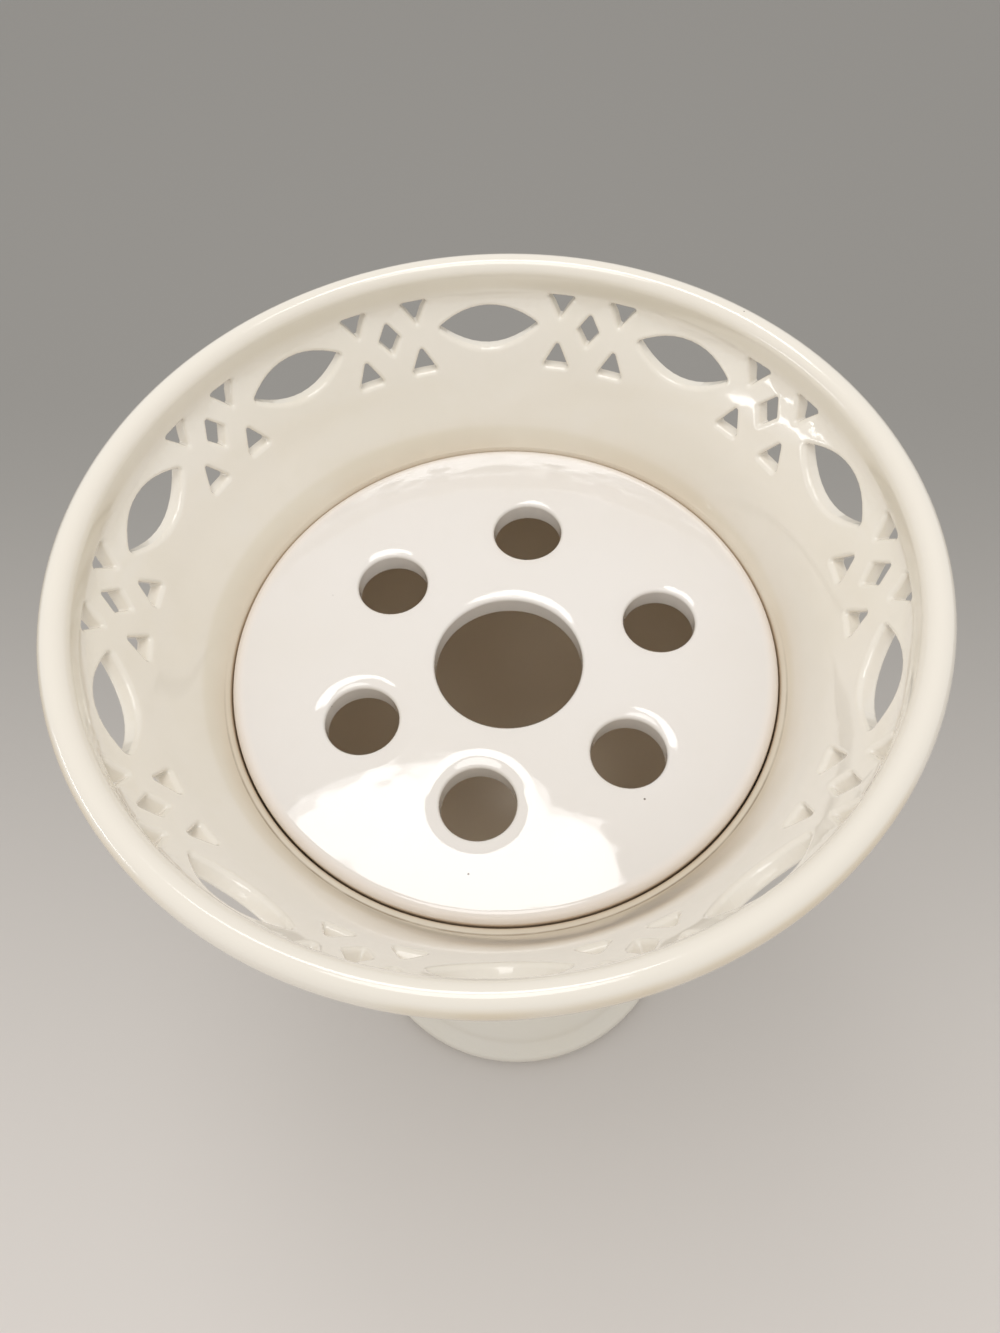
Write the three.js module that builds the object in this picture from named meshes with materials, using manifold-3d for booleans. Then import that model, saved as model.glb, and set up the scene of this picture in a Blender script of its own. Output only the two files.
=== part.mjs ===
// Pierced pedestal vase in cream-glazed earthenware, with a loose flower holder in its neck.
// Millimetres, +Z up. The origin is the middle of the foot ring, on the table.
import * as THREE from 'three';
import { mergeVertices } from 'three/addons/utils/BufferGeometryUtils.js';
import Module from 'manifold-3d';

const wasm = await Module();
wasm.setup();

// Whole vase
const totalHeight = 228;
const rimRadius = 85;
const wall = 3.5;
const jointGap = 0.3;

// Rolled lip: a round roll on top of the gallery, a little proud of the wall inside. It starts on the
// outside this far below level, in degrees
const lipRoll = 3;
const lipStart = -25;

// Gallery: the pierced wall between the ledge and the lip. It is a seat that stands almost upright
// beside the flower holder, then flares, and turns upright again under the lip
const galleryHeight = 43.3;
const galleryFootRadius = 61.7;
const seatHeight = 6;
const seatLean = 0.7;
const flareInset = 7.4;
const flareDrop = 7.7;
const flareSlope = 0.72;
const collarInset = 6;
const collarDrop = 3.5;
const lowerHandle = new THREE.Vector2(4, 6.5);
const upperHandle = 7;

// Ledge that the flower holder lies on, with a moulded bead round the outside. The bead runs from
// its underside up to where the gallery leaves it, in degrees
const ledgeWidth = 5.1;
const ledgeDepth = 5;
const beadRadius = 2.6;
const beadStart = -100;
const beadEnd = 60;

// Bowl below the ledge, and the round boss that joins it to the stem. The sweep is how far the outside
// of the bowl curves round from the ledge before it meets the boss, in degrees
const cupDepth = 93;
const cupSweep = 62;
const bossRadius = 18;
const bossBlend = 3;

// Pedestal: foot, stem, knop and the flared top under the bowl
const pedestalHeight = 82;
const footRadius = 57;
const footEdge = 6;
const footStep = 5;
const footStepRise = 1.5;
const footRingWidth = 6;
const footDome = 14;
const footShoulder = 8;
const stemRadius = 14;
const stemBore = 9;
const stemWaist = 48;
const knopHeight = 59;
const knopRadius = 19;
const knopHalf = 5;
const neckHeight = 67;

// Pierced pattern: a long lens, then a group of four triangles round a diamond
const repeats = 10;
const firstLens = 87.35;
const patternDrop = 12.1;
const patternRadius = 75.4;
const patternHeight = 15.8;
const punchTilt = 10;
const lensLength = 23.6;
const lensRise = 3.7;
const lensDrop = 5.1;
const lensLift = 1.3;
const triangleAngle = 5.3;
const upperTriangleHeight = 5.0;
const upperTriangleWidth = 6.7;
const lowerTriangleHeight = 5.7;
const lowerTriangleWidth = 6.4;
const diamondHeight = 7.1;
const diamondWidth = 5.1;
const diamondLift = 1.0;

// Flower holder: a flat disc with a large middle hole and a ring of small ones, cut by hand
const holderPlay = 1.4;
const holderShift = 1.1;
const holderThickness = 6.4;
const holderEdge = 2.2;
const holeEdge = 1.2;
const middleHoleRadius = 16.5;
const middleHoleDrift = new THREE.Vector2(1.0, -1.8);
const stemHoleRadius = 8.05;
const stemHoleRing = 34.8;
const firstStemHole = 139;
const stemHoleTurn = -60;
// How far each hand-cut hole wanders from even spacing, in degrees and in millimetres outward
const stemHoleDrift = [[0, -2.6], [-2.5, -0.3], [-9.8, 1.2], [-5.6, 1.0], [-1.1, 0.9], [4.8, -0.5]];

// How finely round work is drawn
const aroundVase = 60;
const aroundFoot = 44;
const aroundMiddleHole = 24;
const aroundStemHole = 16;

// Heights that follow from the sizes above
const lipZ = totalHeight - lipRoll;
const ledgeZ = lipZ - galleryHeight;
const cupTopZ = ledgeZ - ledgeDepth;
const cupInnerRadius = galleryFootRadius - ledgeWidth;
const cupOuterRadius = cupInnerRadius + wall;
const bowlBaseZ = pedestalHeight + jointGap;
const patternZ = lipZ - patternDrop;
const holderZ = ledgeZ + jointGap;
const holderRadius = galleryFootRadius - holderPlay;
const lipCentre = rimRadius - lipRoll;

// The gallery's inner face, drawn upward: the seat, the flare, then the cove that turns it upright
const galleryFoot = new THREE.Vector2(galleryFootRadius, ledgeZ);
const flareFoot = new THREE.Vector2(galleryFootRadius + seatLean, ledgeZ + seatHeight);
const flareTop = new THREE.Vector2(rimRadius - flareInset, lipZ - flareDrop);
const flareDirection = new THREE.Vector2(flareSlope, 1);
const flare = new THREE.CubicBezierCurve(
  flareFoot,
  flareFoot.clone().add(lowerHandle),
  flareTop.clone().addScaledVector(flareDirection, -upperHandle),
  flareTop,
);
const collarTop = new THREE.Vector2(rimRadius - collarInset, lipZ - collarDrop);
const coveBend = flareTop.clone().addScaledVector(flareDirection, (collarTop.x - flareTop.x) / flareSlope);
const cove = new THREE.QuadraticBezierCurve(flareTop, coveBend, collarTop);

const glaze = (colour, roughness) => new THREE.MeshStandardMaterial({ color: colour, roughness, metalness: 0 });
const radians = THREE.MathUtils.degToRad;
const point = (r, z) => new THREE.Vector2(r, z);

// Points along a curve, each moved to the right of the curve's direction by offset
function along(curve, steps, offset = 0) {
  const points = [];
  for (let i = 0; i <= steps; i += 1) {
    const at = curve.getPoint(i / steps);
    const direction = curve.getTangent(i / steps);
    points.push(point(at.x + direction.y * offset, at.y - direction.x * offset));
  }
  return points;
}

// Points on an elliptical arc, from one angle to another in degrees
function arc(r, z, radiusR, radiusZ, from, to, steps) {
  const clockwise = to < from;
  return along(new THREE.EllipseCurve(r, z, radiusR, radiusZ, radians(from), radians(to), clockwise), steps);
}

// A closed solid from a geometry: shared corners are merged and empty triangles at the axis left out
function solid(geometry) {
  const bare = geometry.clone();
  bare.deleteAttribute('normal');
  bare.deleteAttribute('uv');
  const merged = mergeVertices(bare, 1e-4);
  const index = merged.getIndex().array;
  const triangles = [];
  for (let i = 0; i < index.length; i += 3) {
    const [a, b, c] = [index[i], index[i + 1], index[i + 2]];
    if (a !== b && b !== c && c !== a) triangles.push(a, b, c);
  }
  const mesh = new wasm.Mesh({
    numProp: 3,
    vertProperties: new Float32Array(merged.getAttribute('position').array),
    triVerts: new Uint32Array(triangles),
  });
  return new wasm.Manifold(mesh);
}

// A profile of (radius, height) points turned round the Z axis
function turned(profile, segments) {
  return solid(new THREE.LatheGeometry(profile, segments).rotateX(Math.PI / 2));
}

// A flat upright outline at the pattern's radius, pushed outward and a little downward through the wall
function punch(outline, azimuth, height) {
  const outward = new THREE.Vector3(Math.cos(azimuth), Math.sin(azimuth), 0);
  const across = new THREE.Vector3(-Math.sin(azimuth), Math.cos(azimuth), 0);
  const up = new THREE.Vector3(0, 0, 1);
  const push = outward.clone().addScaledVector(up, -Math.tan(radians(punchTilt)));
  const start = galleryFootRadius - patternRadius;
  const depth = rimRadius + wall - galleryFootRadius;
  const place = new THREE.Matrix4().makeBasis(across, up, push);
  place.setPosition(outward.multiplyScalar(patternRadius).addScaledVector(push, start));
  const geometry = new THREE.ExtrudeGeometry(outline, { depth, bevelEnabled: false, curveSegments: 4 });
  return solid(geometry.applyMatrix4(place)).translate([0, 0, height]);
}

function mesh(name, body, material) {
  const { vertProperties, triVerts } = body.getMesh();
  const geometry = new THREE.BufferGeometry();
  geometry.setAttribute('position', new THREE.BufferAttribute(new Float32Array(vertProperties), 3));
  geometry.setIndex(new THREE.BufferAttribute(new Uint32Array(triVerts), 1));
  geometry.computeVertexNormals();
  const result = new THREE.Mesh(geometry, material);
  result.name = name;
  return result;
}

// The outside of the bowl's underside, from the boss that stands on the stem up to the bead
function cupOutside() {
  const round = arc(0, cupTopZ, cupOuterRadius, cupDepth, -cupSweep, 0, 6);
  const [start, next] = round;
  const slope = (next.y - start.y) / (next.x - start.x);
  const bend = bossRadius + bossBlend;
  const handle = point(bend, start.y + slope * (bend - start.x));
  const boss = new THREE.QuadraticBezierCurve(point(bossRadius, bowlBaseZ), handle, start);
  return [...along(boss, 3).slice(0, -1), ...round];
}

// One face of the gallery wall above the seat, drawn upward, moved outward by offset
function galleryFace(offset) {
  return [...along(flare, 4, offset), ...along(cove, 2, offset).slice(1)];
}

// Half of the bowl's section, from its base up the outside, over the lip and down to the floor inside
function bowlProfile() {
  const beadCentre = point(galleryFootRadius + beadRadius, ledgeZ - beadRadius / 2);
  const bead = arc(beadCentre.x, beadCentre.y, beadRadius, beadRadius, beadStart, beadEnd, 4);
  const lip = arc(lipCentre, lipZ, lipRoll, lipRoll, lipStart, 180, 7);
  const cupInside = arc(0, cupTopZ, cupInnerRadius, cupDepth - wall, 0, -90, 6);
  return [
    point(0, bowlBaseZ),
    ...cupOutside(),
    ...bead,
    ...galleryFace(wall),
    ...lip,
    ...galleryFace(0).reverse(),
    galleryFoot,
    point(cupInnerRadius, ledgeZ),
    ...cupInside,
  ];
}

// One long lens with pointed ends
function lensOutline() {
  const tip = lensLength / 2;
  const outline = new THREE.Shape();
  outline.moveTo(-tip, 0);
  outline.quadraticCurveTo(0, -2 * lensDrop, tip, 0);
  outline.quadraticCurveTo(0, 2 * lensRise, -tip, 0);
  return outline;
}

function polygon(...corners) {
  return new THREE.Shape(corners.map(([x, y]) => point(x, y)));
}

// Every piercing, as the solids that the punches take out of the gallery wall
function piercings() {
  const top = patternHeight / 2;
  const upperHalf = upperTriangleWidth / 2;
  const lowerHalf = lowerTriangleWidth / 2;
  const tall = diamondHeight / 2;
  const broad = diamondWidth / 2;
  const lens = lensOutline();
  const upper = polygon([-upperHalf, top], [0, top - upperTriangleHeight], [upperHalf, top]);
  const lower = polygon([-lowerHalf, -top], [lowerHalf, -top], [0, lowerTriangleHeight - top]);
  const diamond = polygon([0, -tall], [broad, 0], [0, tall], [-broad, 0]);
  const step = 360 / repeats;
  const cutters = [];
  for (let i = 0; i < repeats; i += 1) {
    const lensAt = firstLens + i * step;
    const groupAt = lensAt + step / 2;
    cutters.push(punch(lens, radians(lensAt), patternZ + lensLift));
    cutters.push(punch(diamond, radians(groupAt), patternZ + diamondLift));
    for (const side of [-triangleAngle, triangleAngle]) {
      cutters.push(punch(upper, radians(groupAt + side), patternZ));
      cutters.push(punch(lower, radians(groupAt + side), patternZ));
    }
  }
  return cutters;
}

function bowl() {
  return piercings().reduce((body, cutter) => body.subtract(cutter), turned(bowlProfile(), aroundVase));
}

// The foot, stem and knop in one hollow casting, open below and at the top under the bowl
function pedestalFoot() {
  const halfEdge = footEdge / 2;
  const domeFoot = point(footRadius - footStep, footEdge + footStepRise);
  const rise = new THREE.CubicBezierCurve(
    domeFoot,
    point(domeFoot.x - footShoulder, domeFoot.y + footDome),
    point(stemRadius, stemWaist - 2 * footDome),
    point(stemRadius, stemWaist),
  );
  const flare = new THREE.QuadraticBezierCurve(
    point(stemRadius, neckHeight),
    point(stemRadius, (neckHeight + pedestalHeight) / 2),
    point(bossRadius, pedestalHeight),
  );
  const ringInside = point(footRadius - footRingWidth, 0);
  const hollow = new THREE.CubicBezierCurve(
    point(ringInside.x, halfEdge),
    point(ringInside.x - footShoulder, footDome + footStepRise),
    point(stemBore, stemWaist - 2 * footDome),
    point(stemBore, stemWaist),
  );
  const profile = [
    ringInside,
    ...arc(footRadius - halfEdge, halfEdge, halfEdge, halfEdge, -90, 80, 4),
    ...along(rise, 7),
    ...arc(stemRadius, knopHeight, knopRadius - stemRadius, knopHalf, -90, 90, 6),
    ...along(flare, 3),
    point(stemBore, pedestalHeight),
    ...along(hollow, 6).reverse(),
    ringInside.clone(),
  ];
  return turned(profile, aroundFoot);
}

// A round hole with softened edges at both faces of the holder
function softHole(radius, x, y, segments) {
  const wide = radius + holeEdge;
  const beyond = 1;
  const profile = [
    point(0, -beyond),
    point(wide, -beyond),
    ...arc(wide, holeEdge, holeEdge, holeEdge, 270, 180, 3),
    ...arc(wide, holderThickness - holeEdge, holeEdge, holeEdge, 180, 90, 3),
    point(wide, holderThickness + beyond),
    point(0, holderThickness + beyond),
  ];
  return turned(profile, segments).translate([x, y, 0]);
}

function flowerHolder() {
  const edge = holderRadius - holderEdge;
  const disc = turned([
    point(0, 0),
    ...arc(edge, holderEdge, holderEdge, holderEdge, -90, 0, 3),
    ...arc(edge, holderThickness - holderEdge, holderEdge, holderEdge, 0, 90, 3),
    point(0, holderThickness),
  ], aroundVase);
  const holes = [softHole(middleHoleRadius, middleHoleDrift.x, middleHoleDrift.y, aroundMiddleHole)];
  stemHoleDrift.forEach(([turn, outward], i) => {
    const azimuth = radians(firstStemHole + i * stemHoleTurn + turn);
    const ring = stemHoleRing + outward;
    holes.push(softHole(stemHoleRadius, ring * Math.cos(azimuth), ring * Math.sin(azimuth), aroundStemHole));
  });
  return holes.reduce((body, hole) => body.subtract(hole), disc);
}

const vase = new THREE.Group();
vase.add(mesh('bowl', bowl(), glaze(0xe4dccd, 0.16)));
vase.add(mesh('pedestal_foot', pedestalFoot(), glaze(0xe0d8c9, 0.16)));

const holder = mesh('flower_holder', flowerHolder(), glaze(0xebe4da, 0.14));
holder.position.set(holderShift, 0, holderZ);
vase.add(holder);

export default vase;
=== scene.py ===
import math

import bmesh
import bpy
from bpy.props import FloatProperty, FloatVectorProperty, IntProperty, PointerProperty
from mathutils import Matrix, Vector
from mathutils.geometry import interpolate_bezier


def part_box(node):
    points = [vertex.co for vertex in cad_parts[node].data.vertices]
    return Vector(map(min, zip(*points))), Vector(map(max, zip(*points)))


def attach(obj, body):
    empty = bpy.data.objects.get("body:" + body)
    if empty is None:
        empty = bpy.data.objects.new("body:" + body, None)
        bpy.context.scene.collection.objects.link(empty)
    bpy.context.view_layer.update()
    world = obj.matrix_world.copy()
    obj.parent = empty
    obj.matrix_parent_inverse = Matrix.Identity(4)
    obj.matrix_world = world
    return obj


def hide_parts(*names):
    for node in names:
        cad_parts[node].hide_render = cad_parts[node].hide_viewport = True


bl_info = {
    "name": "Pierced Pedestal Vase",
    "version": (1, 0, 0),
    "blender": (4, 5, 0),
    "location": "View3D > Sidebar > Vase",
    "description": "Makes a pierced creamware vase with a loose flower holder",
    "category": "Add Mesh",
}

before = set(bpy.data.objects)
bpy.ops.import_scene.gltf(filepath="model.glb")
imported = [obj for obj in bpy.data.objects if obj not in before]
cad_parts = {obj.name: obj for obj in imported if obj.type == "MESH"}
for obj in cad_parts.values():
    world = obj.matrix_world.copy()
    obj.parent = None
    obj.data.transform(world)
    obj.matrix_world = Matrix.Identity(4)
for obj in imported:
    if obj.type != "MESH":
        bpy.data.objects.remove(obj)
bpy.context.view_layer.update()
bowl_low, bowl_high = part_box("bowl")
foot_low, foot_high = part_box("pedestal_foot")
holder_low, holder_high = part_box("flower_holder")

MM = 0.001
FULL_TURN = 2 * math.pi


def length(name, description, millimetres):
    """A size that a user may change, shown in the scene's own units."""
    return FloatProperty(
        name=name, description=description, default=millimetres * MM, precision=4, unit="LENGTH")


def offset(name, description, millimetres):
    """Two sizes that go together, such as a width and a height."""
    return FloatVectorProperty(
        name=name, description=description, size=2, default=[part * MM for part in millimetres],
        precision=4, unit="LENGTH")


def power(name, description, watts):
    """The power of a lamp."""
    return FloatProperty(name=name, description=description, default=watts, unit="POWER")


def share(name, description, default):
    """A plain number without a unit."""
    return FloatProperty(name=name, description=description, default=default, precision=3)


def turn(name, description, degrees):
    """An angle, shown in degrees."""
    return FloatProperty(name=name, description=description, default=math.radians(degrees), subtype="ANGLE")


def colour(name, description, default):
    """A linear colour."""
    return FloatVectorProperty(
        name=name, description=description, default=default, min=0, max=1, subtype="COLOR")


class VaseBowlSizes(bpy.types.PropertyGroup):
    """Sizes of the bowl, its gallery and its lip."""

    wall: length("Wall", "Thickness of the cast wall", 3.5)
    lip_roll: length("Lip roll", "Radius of the round roll along the lip", 3)
    gallery_height: length("Gallery height", "From the ledge to the middle of the lip roll", 43.3)
    gallery_foot: length("Gallery foot", "Radius that the wall and its bead are laid out from", 61.7)
    seat_inset: length("Seat inset", "How far the glazed seat stands in from the gallery foot", 1.25)
    seat_height: length("Seat height", "How far the wall stands almost upright beside the holder", 4.7)
    seat_lean: length("Seat lean", "How far the seat leans out over its height", 0.2)
    seat_edge: length("Seat edge", "How softly the seat and the shelf turn into what is above", 0.5)
    shelf: offset("Shelf", "Width and rise of the small shelf between the seat and the flare", (1.15, 1.25))
    neck_shift: length("Neck shift", "How far the neck came out to the right of the lip's middle", 1.1)
    shelf_shift: length("Shelf shift", "How much wider the shelf is in front than at the sides", 0.6)
    flare_start: offset("Flare start", "Outward and upward pull of the curve where it starts", (3.8, 6.6))
    flare_end: length("Flare end", "Pull of the curve at the top of the flare", 7)
    flare_inset: length("Flare inset", "How far in from the rim the flare ends", 7.4)
    flare_drop: length("Flare drop", "How far below the lip the flare ends", 7.7)
    flare_slope: share("Flare slope", "Outward run for each unit of height at the top of the flare", 0.72)
    collar_inset: length("Collar inset", "How far in from the rim the upright collar stands", 6)
    collar_drop: length("Collar drop", "How far below the lip the collar turns upright", 3.5)
    ledge_width: length("Ledge width", "Width of the ledge that the holder lies on", 5.1)
    ledge_depth: length("Ledge depth", "Thickness of the ledge", 5)
    bead: length("Bead", "Radius of the moulded bead outside the ledge", 2.6)
    cup_depth: length("Cup depth", "From the ledge to the bottom of the cup's curve", 93)
    cup_sweep: turn("Cup sweep", "How far the outside curves round before the boss", 62)
    boss: length("Boss", "Radius of the boss that stands on the stem", 18)
    slip: length("Slip", "Height of the bead of slip that joins the boss to the stem", 2)


class VasePatternSizes(bpy.types.PropertyGroup):
    """Sizes of the pierced pattern, as angles round the vase and heights below the lip."""

    repeats: IntProperty(name="Repeats", description="How often the pattern repeats", default=10, min=3)
    first_lens: turn("First lens", "Azimuth of the middle of one lens", 87.35)
    radius: length("Pattern radius", "Inside radius at the tips of the lenses", 75.4)
    punch_tilt: turn("Punch tilt", "How far the punch points below level", 10)
    edge: length("Soft edge", "Radius that the glaze leaves on a cut edge", 0.9)
    lens_half: turn("Lens half length", "Half of the lens, as an angle", 9.0)
    lens_drop: length("Lens tips", "Below the lip", 10.8)
    lens_rise: length("Lens rise", "Height of the upper curve above the tips", 3.4)
    lens_fall: length("Lens fall", "Depth of the lower curve below the tips", 4.8)
    upper_top: length("Upper triangles, base", "Below the lip", 4.75)
    upper_point: length("Upper triangles, point", "Below the lip", 9.4)
    lower_point: length("Lower triangles, point", "Below the lip", 14.0)
    lower_base: length("Lower triangles, base", "Below the lip", 19.2)
    triangle_middle: turn("Triangle middle", "From the middle of the group", 5.3)
    triangle_half: turn("Triangle half width", "Half of a triangle's base", 2.5)
    diamond_top: length("Diamond top", "Below the lip", 7.9)
    diamond_foot: length("Diamond foot", "Below the lip", 14.3)
    diamond_half: turn("Diamond half width", "Half of the diamond", 1.95)


class VaseFootSizes(bpy.types.PropertyGroup):
    """Sizes of the spreading foot and its stem."""

    edge: length("Foot edge", "Height of the rounded edge of the foot", 6)
    step: length("Foot step", "Width of the step inside the edge", 5)
    step_rise: length("Step rise", "Height of the step above the edge", 1.5)
    ring: length("Foot ring", "Width of the ring that the vase stands on", 6)
    dome: length("Foot dome", "How high the foot domes before it turns into the stem", 14)
    shoulder: length("Foot shoulder", "How far the dome leans in", 8)
    stem: length("Stem", "Radius of the stem", 14)
    bore: length("Stem bore", "Radius inside the stem", 9)
    waist: length("Stem waist", "Height where the stem turns upright", 48)
    knop_height: length("Knop height", "Height of the middle of the knop", 59)
    knop: length("Knop", "Radius of the knop", 19)
    knop_half: length("Knop half height", "Half of the knop's height", 5)
    neck: length("Neck", "Height where the stem starts to flare under the bowl", 67)


class VaseHolderSizes(bpy.types.PropertyGroup):
    """Sizes of the loose flower holder."""

    edge: length("Holder edge", "Radius of its rounded edge", 2.2)
    hole_edge: length("Hole edge", "Radius that the glaze leaves at a hole", 0.9)
    shoulder: length("Shoulder", "Width of the ring that slumps towards a hole", 3.2)
    slump: length("Slump", "How far the shoulder sinks", 0.4)
    middle_hole: length("Middle hole", "Radius", 16.4)
    middle_drift: offset("Middle drift", "How far the middle hole is from the middle", (1.0, -1.8))
    stem_hole: length("Stem hole", "Radius of a small hole", 8.0)
    stem_ring: length("Stem ring", "Radius of the ring of small holes", 34.8)
    first_stem: turn("First stem hole", "Azimuth of the first small hole", 139)


class VaseGlaze(bpy.types.PropertyGroup):
    """Colours, gloss and wear of the glazes, and the colours of painted shade."""

    cream: colour("Cream", "Glaze where it lies even", (0.855, 0.80, 0.71))
    pooled: colour("Pooled", "Glaze where it lies thick", (0.74, 0.675, 0.53))
    thin: colour("Thin", "Glaze along the lip, where it runs thin", (0.82, 0.76, 0.665))
    # A browner glaze inside the cup below the holder
    basin: colour("Basin", "Glaze at the bottom of the bowl, stained by water", (0.82, 0.70, 0.545))
    # Painted shade: the dark line along the crease above the seat, in front
    crease_shade: colour("Grime", "Dirt in the crease above the seat", (0.36, 0.29, 0.21))
    # Painted shade: the warm brown round the holder's seat, on the low wall, in the gap and on the holder's
    # edge
    seat_shade: colour("Stain", "Water stain where the holder meets its seat", (0.62, 0.47, 0.31))
    worn: colour("Worn", "Body that shows where an edge has rubbed", (0.72, 0.60, 0.42))
    # Painted shade: darker than the cream, for the shadow that the bowl casts on the foot
    foot: colour("Foot", "Glaze of the foot", (0.72, 0.675, 0.595))
    ivory: colour("Ivory", "Glaze of the holder", (0.815, 0.77, 0.725))
    ivory_pooled: colour("Ivory, pooled", "Glaze of the holder where it lies thick", (0.77, 0.715, 0.64))
    ivory_edge: colour("Ivory, edge", "Glaze of the holder where it runs thin", (0.86, 0.785, 0.715))
    speck: colour("Speck", "Iron specks in the body", (0.10, 0.065, 0.04))
    gloss: share("Gloss", "Weight of the clear coat", 0.7)
    clouds: share("Clouds", "How much the glaze thickens in wide clouds", 0.22)
    mottles: share("Mottles", "How much the glaze thickens in small patches", 0.10)
    lip_pool: share("Lip pool", "How much the glaze thickens under the lip", 0.42)
    shelf_pool: share("Shelf pool", "How much the glaze thickens on the shelf", 0.4)
    # How strong the painted brown shade in the gap below the shelf is
    crevice_shade: share("Seat stain", "How strongly the seat is stained", 0.8)
    crown_thin: share("Crown thin", "How thin the glaze is on the crown of the lip", 0.8)
    wear: share("Wear", "How bare the rubbed edges are", 0.75)
    specks: share("Specks", "How dark the bowl's and the foot's specks are", 0.8)
    ivory_clouds: share("Ivory, clouds", "How much the holder's glaze thickens in wide clouds", 0.3)
    ivory_mottles: share("Ivory, mottles", "How much the holder's glaze thickens in small patches", 0.15)
    # How strong the painted brown shade on the holder's outer edge is
    ivory_edge_shade: share("Ivory, stain", "How strongly the holder's edge is stained", 0.6)
    ivory_specks: share("Ivory, specks", "How dark the holder's specks are", 0.85)


class VaseStage(bpy.types.PropertyGroup):
    """Floor, lamps and camera."""

    floor: colour("Floor", "Colour of the floor in front", (0.76, 0.71, 0.665))
    # Painted shade: the floor's colour far behind the vase, where the light falls off
    floor_far_shade: colour("Floor behind", "Colour of the floor far behind the vase", (0.30, 0.287, 0.268))
    sky: colour("Sky", "Colour of the light all round", (1.0, 0.995, 0.985))
    sky_strength: share("Sky strength", "Level of the light all round", 0.86)
    sky_shade: share("Sky shade", "How much darker the light is low in front", 0.7)
    sky_tilt: share("Sky tilt", "How much more light comes from the front than from behind", 0.28)
    backdrop: share("Backdrop", "Level of the plain backdrop", 0.8)
    lamp_power: power("Lamp", "Power of the widest overhead lamp", 0.42)
    window_power: power("Window", "Power of the light on the left", 0.66)


# How unevenly the stem holes stand: how far each wanders round, in degrees, and outward, in millimetres
STEM_DRIFT = ((0, -2.6), (-2.5, -0.3), (-9.8, 1.2), (-5.6, 1.0), (-1.1, 0.9), (4.8, -0.5))

# Overhead lamps: name, place, turn about the vertical in degrees, size, share of the lamp's power
OVERHEAD = (
    ("overhead", (-0.05, 0.185), 0, (0.17, 0.15), 0.65),
    ("overhead left", (-0.10, 0.216), 8, (0.19, 0.08), 0.4),
    ("overhead right", (0.03, 0.15), 0, (0.11, 0.10), 0.3),
    ("overhead near", (-0.04, -0.03), 0, (0.26, 0.22), 1),
)
OVERHEAD_HEIGHT = 0.79

# The lamp on the left: its place, its turn about the depth axis in degrees, and its size
WINDOW_PLACE = (-1.15, -0.1, 0.45)
WINDOW_TURN = -90
WINDOW_SIZE = (0.07, 0.6)

# The floor's half width, where its painted shade starts and ends to darken it towards the back, and how that
# line slants
FLOOR_HALF = 4
FLOOR_FADE = (-260 * MM, 290 * MM)
FLOOR_SKEW = 0.1

# The photograph's camera, and the height of its picture in pixels
FOCAL_PIXELS = 1000
PHOTO_HEIGHT = 1333
CAMERA_PLACE = (0, -0.11423, 0.37811)
CAMERA_RIGHT = (0.99725264, -0.06438933, -0.03662234)
CAMERA_UP = (0.0740705, 0.86104164, 0.50311117)

# How finely round work is drawn, and how near two points are to be made one
AROUND = 180
MIDDLE_HOLE_AROUND = 72
STEM_HOLE_AROUND = 48
TILE_ROW = 1.6 * MM
MERGE = 0.004 * MM


def bezier(start, first, second, end, steps):
    """Points of a cubic curve, both ends among them."""
    return [Vector(p[:2]) for p in interpolate_bezier(start, first, second, end, steps + 1)]


def bent(start, bend, end, steps):
    """Points of a curve that leaves start towards bend and meets end from bend."""
    return bezier(start, start.lerp(bend, 2 / 3), end.lerp(bend, 2 / 3), end, steps)


def rounded_corner(before, corner, after, radius, steps=4):
    """The corner of a profile, rounded so that it meets both sides smoothly."""
    start = corner + (before - corner).normalized() * radius
    end = corner + (after - corner).normalized() * radius
    return bent(start, corner, end, steps)


def arc(r, z, radius_r, radius_z, first, last, steps):
    """Points of an elliptical arc between two angles in degrees."""
    points = []
    for i in range(steps + 1):
        angle = math.radians(first + (last - first) * i / steps)
        points.append(Vector((r + radius_r * math.cos(angle), z + radius_z * math.sin(angle))))
    return points


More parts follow.
